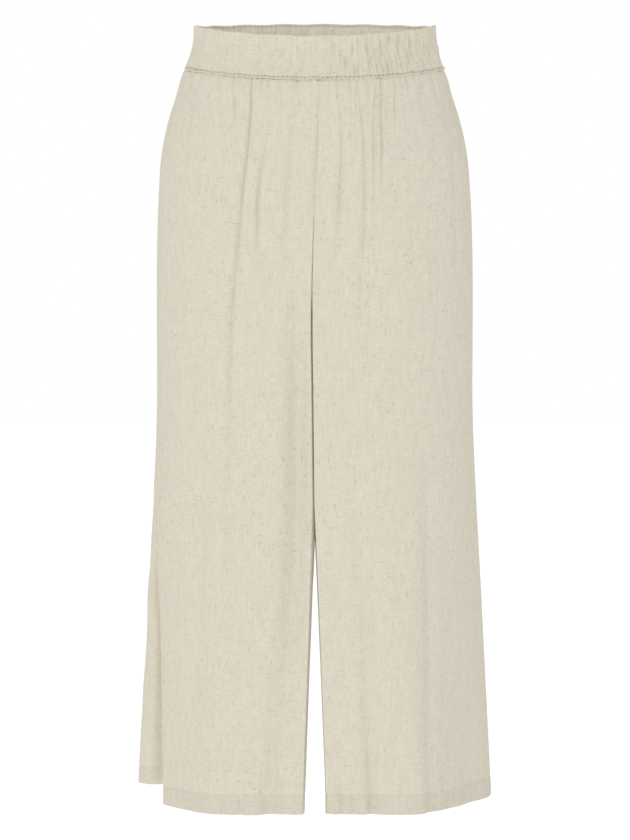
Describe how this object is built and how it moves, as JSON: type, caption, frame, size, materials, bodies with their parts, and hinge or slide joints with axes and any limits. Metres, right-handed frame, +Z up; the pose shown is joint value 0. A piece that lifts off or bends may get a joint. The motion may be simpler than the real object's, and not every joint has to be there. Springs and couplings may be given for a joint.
{
  "type": "culottes",
  "caption": "Cropped wide-leg pull-on trousers in natural linen-look cloth, with an elasticated waistband, soft gathers below it and plain turned-up hems, filled out as worn.",
  "frame": {"origin": "middle of the waist, halfway up the waistband, where a wearer holds the garment up", "axes": "+Z up; the front of the garment faces -Y and the wearer's left leg is on the +X side"},
  "size_m": [0.3983, 0.277, 0.8663],
  "materials": {
    "linen": "plain-woven slubbed linen-look cloth, undyed beige, matt"
  },
  "bodies": {
    "root": {"front_panel_right": "linen", "front_panel_left": "linen", "back_panel_right": "linen", "back_panel_left": "linen", "waistband_front": "linen", "waistband_back": "linen"}
  },
  "joints": []
}
